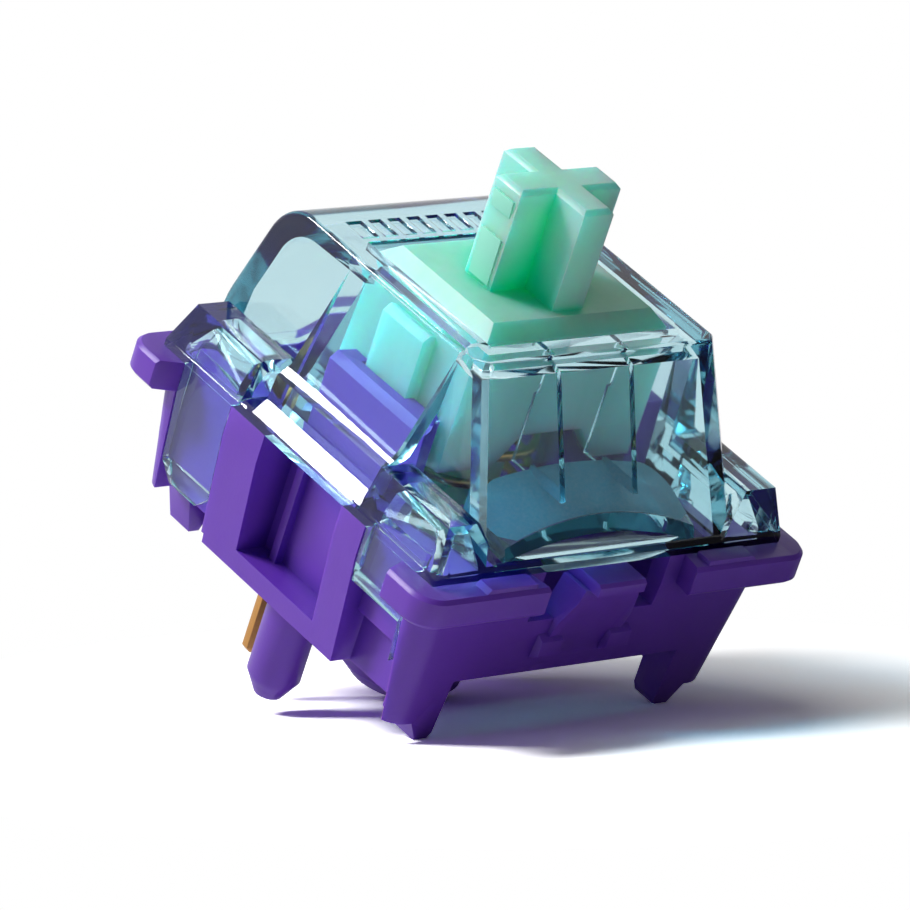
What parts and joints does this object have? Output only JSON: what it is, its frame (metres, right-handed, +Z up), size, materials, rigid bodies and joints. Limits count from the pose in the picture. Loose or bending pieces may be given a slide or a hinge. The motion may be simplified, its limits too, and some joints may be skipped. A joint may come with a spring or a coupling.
{
  "type": "mechanical keyboard switch",
  "caption": "Linear key switch with a clear light-guiding upper housing, coloured lower housing, cross-stem slider, return spring and a leaf contact with board pins.",
  "frame": {"origin": "on the centre post's axis at the board's face, where the feet of the lower housing rest", "axes": "+Z is up the key's travel, -Y is the lamp and light-guide side, +Y the contact side, X across the fixing pins"},
  "size_m": [0.0156, 0.0156, 0.0179],
  "materials": {
    "lower_housing_plastic": "satin violet",
    "clear_plastic": "clear, pale aqua",
    "stem_plastic": "mint green, self-lubricating",
    "spring_steel": "bright wire",
    "terminal_brass": "copper alloy sheet",
    "leaf_copper": "thin copper alloy spring sheet",
    "contact_gold": "gold alloy"
  },
  "bodies": {
    "housing": {"bottom_housing": "lower_housing_plastic", "top_housing": "clear_plastic", "fixed_contact": "terminal_brass", "fixed_contact_point": "contact_gold", "moving_contact_terminal": "terminal_brass", "spring": "spring_steel"},
    "slider": {"stem": "stem_plastic"},
    "leaf": {"moving_contact_leaf": "leaf_copper", "moving_contact_point": "contact_gold"}
  },
  "joints": [
    {"name": "key_travel", "type": "slide", "parent": "housing", "child": "slider", "axis": [0, 0, -1], "range_m": [0, 0.004], "stiffness_N_per_m": 75, "springref_m": -0.004, "deforming": ["spring"]},
    {"name": "leaf_flex", "type": "hinge", "parent": "housing", "child": "leaf", "pos_m": [0, 0.00485, 0.0016], "axis": [1, 0, 0], "range_deg": [0, 5.75]}
  ],
  "couplings": [
    {"joint": "leaf_flex", "follows": "key_travel", "rad_per_m": 25}
  ]
}
